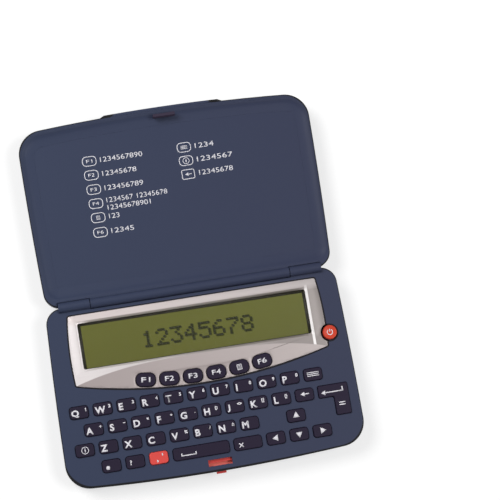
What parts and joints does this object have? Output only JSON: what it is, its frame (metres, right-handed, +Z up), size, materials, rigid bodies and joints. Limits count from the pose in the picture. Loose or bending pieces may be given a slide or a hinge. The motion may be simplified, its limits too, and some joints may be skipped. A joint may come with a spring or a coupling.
{
  "type": "electronic dictionary",
  "caption": "Pocket electronic dictionary with a hinged lid, letter keyboard, oval function keys, liquid crystal display and a sprung front latch.",
  "frame": {"origin": "middle of the footprint, on the surface it stands on, with the lid laid open by half a turn", "axes": "+X along the hinge to the right, +Y from the hinge towards the lid, +Z up"},
  "size_m": [0.1306, 0.1628, 0.0149],
  "materials": {
    "casing": "satin moulded plastic",
    "keys": "satin rubberised keycaps with white legends",
    "bezel": "satin silver paint",
    "window": "clear",
    "lcd": "olive liquid crystal",
    "board": "green solder mask",
    "rubber": "moulded silicone",
    "steel": "bright",
    "cell": "nickel",
    "latch": "moulded red",
    "power": "moulded red",
    "accent_key": "satin red keycap"
  },
  "bodies": {
    "base": {"base_bottom_cover": "casing", "base_top_cover": "casing", "battery_door": "casing", "case_screws": "steel", "circuit_board": "board", "coin_cell": "cell", "display_bezel": "bezel", "display_window": "window", "key_mat": "rubber", "latch_spring": "steel", "lcd_panel": "lcd"},
    "lid": {"lid_shell": "casing", "lid_panel": "casing"},
    "latch": {"latch_button": "latch"},
    "key_a": {"key_a": "keys"},
    "key_b": {"key_b": "keys"},
    "key_back": {"key_back": "keys"},
    "key_c": {"key_c": "keys"},
    "key_d": {"key_d": "keys"},
    "key_down": {"key_down": "keys"},
    "key_e": {"key_e": "keys"},
    "key_enter": {"key_enter": "keys"},
    "key_escape": {"key_escape": "keys"},
    "key_f": {"key_f": "keys"},
    "key_f1": {"key_f1": "keys"},
    "key_f2": {"key_f2": "keys"},
    "key_f3": {"key_f3": "keys"},
    "key_f4": {"key_f4": "keys"},
    "key_f5": {"key_f5": "keys"},
    "key_f6": {"key_f6": "keys"},
    "key_g": {"key_g": "keys"},
    "key_h": {"key_h": "keys"},
    "key_i": {"key_i": "keys"},
    "key_info": {"key_info": "keys"},
    "key_j": {"key_j": "keys"},
    "key_k": {"key_k": "keys"},
    "key_l": {"key_l": "keys"},
    "key_left": {"key_left": "keys"},
    "key_m": {"key_m": "keys"},
    "key_menu": {"key_menu": "keys"},
    "key_n": {"key_n": "keys"},
    "key_o": {"key_o": "keys"},
    "key_p": {"key_p": "keys"},
    "key_point": {"key_point": "keys"},
    "key_q": {"key_q": "keys"},
    "key_query": {"key_query": "keys"},
    "key_r": {"key_r": "keys"},
    "key_right": {"key_right": "keys"},
    "key_s": {"key_s": "keys"},
    "key_second": {"key_second": "accent_key"},
    "key_space": {"key_space": "keys"},
    "key_t": {"key_t": "keys"},
    "key_u": {"key_u": "keys"},
    "key_up": {"key_up": "keys"},
    "key_v": {"key_v": "keys"},
    "key_w": {"key_w": "keys"},
    "key_x": {"key_x": "keys"},
    "key_y": {"key_y": "keys"},
    "key_z": {"key_z": "keys"},
    "power_button": {"power_button": "power"}
  },
  "joints": [
    {"name": "lid_hinge", "type": "hinge", "parent": "base", "child": "lid", "pos_m": [0, 0, 0.0116], "axis": [1, 0, 0], "range_deg": [0, 180]},
    {"name": "latch_slide", "type": "slide", "parent": "base", "child": "latch", "axis": [0, 1, 0], "range_m": [0, 0.001], "stiffness_N_per_m": 500, "springref_m": -0.001, "deforming": ["latch_spring"]},
    {"name": "key_a_press", "type": "slide", "parent": "base", "child": "key_a", "axis": [0, 0, -1], "range_m": [0, 0.0008], "stiffness_N_per_m": 700, "springref_m": -0.0004, "deforming": ["key_mat"]},
    {"name": "key_b_press", "type": "slide", "parent": "base", "child": "key_b", "axis": [0, 0, -1], "range_m": [0, 0.0008], "stiffness_N_per_m": 700, "springref_m": -0.0004, "deforming": ["key_mat"]},
    {"name": "key_back_press", "type": "slide", "parent": "base", "child": "key_back", "axis": [0, 0, -1], "range_m": [0, 0.0008], "stiffness_N_per_m": 700, "springref_m": -0.0004, "deforming": ["key_mat"]},
    {"name": "key_c_press", "type": "slide", "parent": "base", "child": "key_c", "axis": [0, 0, -1], "range_m": [0, 0.0008], "stiffness_N_per_m": 700, "springref_m": -0.0004, "deforming": ["key_mat"]},
    {"name": "key_d_press", "type": "slide", "parent": "base", "child": "key_d", "axis": [0, 0, -1], "range_m": [0, 0.0008], "stiffness_N_per_m": 700, "springref_m": -0.0004, "deforming": ["key_mat"]},
    {"name": "key_down_press", "type": "slide", "parent": "base", "child": "key_down", "axis": [0, 0, -1], "range_m": [0, 0.0008], "stiffness_N_per_m": 700, "springref_m": -0.0004, "deforming": ["key_mat"]},
    {"name": "key_e_press", "type": "slide", "parent": "base", "child": "key_e", "axis": [0, 0, -1], "range_m": [0, 0.0008], "stiffness_N_per_m": 700, "springref_m": -0.0004, "deforming": ["key_mat"]},
    {"name": "key_enter_press", "type": "slide", "parent": "base", "child": "key_enter", "axis": [0, 0, -1], "range_m": [0, 0.0008], "stiffness_N_per_m": 700, "springref_m": -0.0004, "deforming": ["key_mat"]},
    {"name": "key_escape_press", "type": "slide", "parent": "base", "child": "key_escape", "axis": [0, 0, -1], "range_m": [0, 0.0008], "stiffness_N_per_m": 700, "springref_m": -0.0004, "deforming": ["key_mat"]},
    {"name": "key_f_press", "type": "slide", "parent": "base", "child": "key_f", "axis": [0, 0, -1], "range_m": [0, 0.0008], "stiffness_N_per_m": 700, "springref_m": -0.0004, "deforming": ["key_mat"]},
    {"name": "key_f1_press", "type": "slide", "parent": "base", "child": "key_f1", "axis": [0, 0, -1], "range_m": [0, 0.0008], "stiffness_N_per_m": 700, "springref_m": -0.0004, "deforming": ["key_mat"]},
    {"name": "key_f2_press", "type": "slide", "parent": "base", "child": "key_f2", "axis": [0, 0, -1], "range_m": [0, 0.0008], "stiffness_N_per_m": 700, "springref_m": -0.0004, "deforming": ["key_mat"]},
    {"name": "key_f3_press", "type": "slide", "parent": "base", "child": "key_f3", "axis": [0, 0, -1], "range_m": [0, 0.0008], "stiffness_N_per_m": 700, "springref_m": -0.0004, "deforming": ["key_mat"]},
    {"name": "key_f4_press", "type": "slide", "parent": "base", "child": "key_f4", "axis": [0, 0, -1], "range_m": [0, 0.0008], "stiffness_N_per_m": 700, "springref_m": -0.0004, "deforming": ["key_mat"]},
    {"name": "key_f5_press", "type": "slide", "parent": "base", "child": "key_f5", "axis": [0, 0, -1], "range_m": [0, 0.0008], "stiffness_N_per_m": 700, "springref_m": -0.0004, "deforming": ["key_mat"]},
    {"name": "key_f6_press", "type": "slide", "parent": "base", "child": "key_f6", "axis": [0, 0, -1], "range_m": [0, 0.0008], "stiffness_N_per_m": 700, "springref_m": -0.0004, "deforming": ["key_mat"]},
    {"name": "key_g_press", "type": "slide", "parent": "base", "child": "key_g", "axis": [0, 0, -1], "range_m": [0, 0.0008], "stiffness_N_per_m": 700, "springref_m": -0.0004, "deforming": ["key_mat"]},
    {"name": "key_h_press", "type": "slide", "parent": "base", "child": "key_h", "axis": [0, 0, -1], "range_m": [0, 0.0008], "stiffness_N_per_m": 700, "springref_m": -0.0004, "deforming": ["key_mat"]},
    {"name": "key_i_press", "type": "slide", "parent": "base", "child": "key_i", "axis": [0, 0, -1], "range_m": [0, 0.0008], "stiffness_N_per_m": 700, "springref_m": -0.0004, "deforming": ["key_mat"]},
    {"name": "key_info_press", "type": "slide", "parent": "base", "child": "key_info", "axis": [0, 0, -1], "range_m": [0, 0.0008], "stiffness_N_per_m": 700, "springref_m": -0.0004, "deforming": ["key_mat"]},
    {"name": "key_j_press", "type": "slide", "parent": "base", "child": "key_j", "axis": [0, 0, -1], "range_m": [0, 0.0008], "stiffness_N_per_m": 700, "springref_m": -0.0004, "deforming": ["key_mat"]},
    {"name": "key_k_press", "type": "slide", "parent": "base", "child": "key_k", "axis": [0, 0, -1], "range_m": [0, 0.0008], "stiffness_N_per_m": 700, "springref_m": -0.0004, "deforming": ["key_mat"]},
    {"name": "key_l_press", "type": "slide", "parent": "base", "child": "key_l", "axis": [0, 0, -1], "range_m": [0, 0.0008], "stiffness_N_per_m": 700, "springref_m": -0.0004, "deforming": ["key_mat"]},
    {"name": "key_left_press", "type": "slide", "parent": "base", "child": "key_left", "axis": [0, 0, -1], "range_m": [0, 0.0008], "stiffness_N_per_m": 700, "springref_m": -0.0004, "deforming": ["key_mat"]},
    {"name": "key_m_press", "type": "slide", "parent": "base", "child": "key_m", "axis": [0, 0, -1], "range_m": [0, 0.0008], "stiffness_N_per_m": 700, "springref_m": -0.0004, "deforming": ["key_mat"]},
    {"name": "key_menu_press", "type": "slide", "parent": "base", "child": "key_menu", "axis": [0, 0, -1], "range_m": [0, 0.0008], "stiffness_N_per_m": 700, "springref_m": -0.0004, "deforming": ["key_mat"]},
    {"name": "key_n_press", "type": "slide", "parent": "base", "child": "key_n", "axis": [0, 0, -1], "range_m": [0, 0.0008], "stiffness_N_per_m": 700, "springref_m": -0.0004, "deforming": ["key_mat"]},
    {"name": "key_o_press", "type": "slide", "parent": "base", "child": "key_o", "axis": [0, 0, -1], "range_m": [0, 0.0008], "stiffness_N_per_m": 700, "springref_m": -0.0004, "deforming": ["key_mat"]},
    {"name": "key_p_press", "type": "slide", "parent": "base", "child": "key_p", "axis": [0, 0, -1], "range_m": [0, 0.0008], "stiffness_N_per_m": 700, "springref_m": -0.0004, "deforming": ["key_mat"]},
    {"name": "key_point_press", "type": "slide", "parent": "base", "child": "key_point", "axis": [0, 0, -1], "range_m": [0, 0.0008], "stiffness_N_per_m": 700, "springref_m": -0.0004, "deforming": ["key_mat"]},
    {"name": "key_q_press", "type": "slide", "parent": "base", "child": "key_q", "axis": [0, 0, -1], "range_m": [0, 0.0008], "stiffness_N_per_m": 700, "springref_m": -0.0004, "deforming": ["key_mat"]},
    {"name": "key_query_press", "type": "slide", "parent": "base", "child": "key_query", "axis": [0, 0, -1], "range_m": [0, 0.0008], "stiffness_N_per_m": 700, "springref_m": -0.0004, "deforming": ["key_mat"]},
    {"name": "key_r_press", "type": "slide", "parent": "base", "child": "key_r", "axis": [0, 0, -1], "range_m": [0, 0.0008], "stiffness_N_per_m": 700, "springref_m": -0.0004, "deforming": ["key_mat"]},
    {"name": "key_right_press", "type": "slide", "parent": "base", "child": "key_right", "axis": [0, 0, -1], "range_m": [0, 0.0008], "stiffness_N_per_m": 700, "springref_m": -0.0004, "deforming": ["key_mat"]},
    {"name": "key_s_press", "type": "slide", "parent": "base", "child": "key_s", "axis": [0, 0, -1], "range_m": [0, 0.0008], "stiffness_N_per_m": 700, "springref_m": -0.0004, "deforming": ["key_mat"]},
    {"name": "key_second_press", "type": "slide", "parent": "base", "child": "key_second", "axis": [0, 0, -1], "range_m": [0, 0.0008], "stiffness_N_per_m": 700, "springref_m": -0.0004, "deforming": ["key_mat"]},
    {"name": "key_space_press", "type": "slide", "parent": "base", "child": "key_space", "axis": [0, 0, -1], "range_m": [0, 0.0008], "stiffness_N_per_m": 700, "springref_m": -0.0004, "deforming": ["key_mat"]},
    {"name": "key_t_press", "type": "slide", "parent": "base", "child": "key_t", "axis": [0, 0, -1], "range_m": [0, 0.0008], "stiffness_N_per_m": 700, "springref_m": -0.0004, "deforming": ["key_mat"]},
    {"name": "key_u_press", "type": "slide", "parent": "base", "child": "key_u", "axis": [0, 0, -1], "range_m": [0, 0.0008], "stiffness_N_per_m": 700, "springref_m": -0.0004, "deforming": ["key_mat"]},
    {"name": "key_up_press", "type": "slide", "parent": "base", "child": "key_up", "axis": [0, 0, -1], "range_m": [0, 0.0008], "stiffness_N_per_m": 700, "springref_m": -0.0004, "deforming": ["key_mat"]},
    {"name": "key_v_press", "type": "slide", "parent": "base", "child": "key_v", "axis": [0, 0, -1], "range_m": [0, 0.0008], "stiffness_N_per_m": 700, "springref_m": -0.0004, "deforming": ["key_mat"]},
    {"name": "key_w_press", "type": "slide", "parent": "base", "child": "key_w", "axis": [0, 0, -1], "range_m": [0, 0.0008], "stiffness_N_per_m": 700, "springref_m": -0.0004, "deforming": ["key_mat"]},
    {"name": "key_x_press", "type": "slide", "parent": "base", "child": "key_x", "axis": [0, 0, -1], "range_m": [0, 0.0008], "stiffness_N_per_m": 700, "springref_m": -0.0004, "deforming": ["key_mat"]},
    {"name": "key_y_press", "type": "slide", "parent": "base", "child": "key_y", "axis": [0, 0, -1], "range_m": [0, 0.0008], "stiffness_N_per_m": 700, "springref_m": -0.0004, "deforming": ["key_mat"]},
    {"name": "key_z_press", "type": "slide", "parent": "base", "child": "key_z", "axis": [0, 0, -1], "range_m": [0, 0.0008], "stiffness_N_per_m": 700, "springref_m": -0.0004, "deforming": ["key_mat"]},
    {"name": "power_button_press", "type": "slide", "parent": "base", "child": "power_button", "axis": [0, 0, -1], "range_m": [0, 0.0008], "stiffness_N_per_m": 700, "springref_m": -0.0004, "deforming": ["key_mat"]}
  ]
}
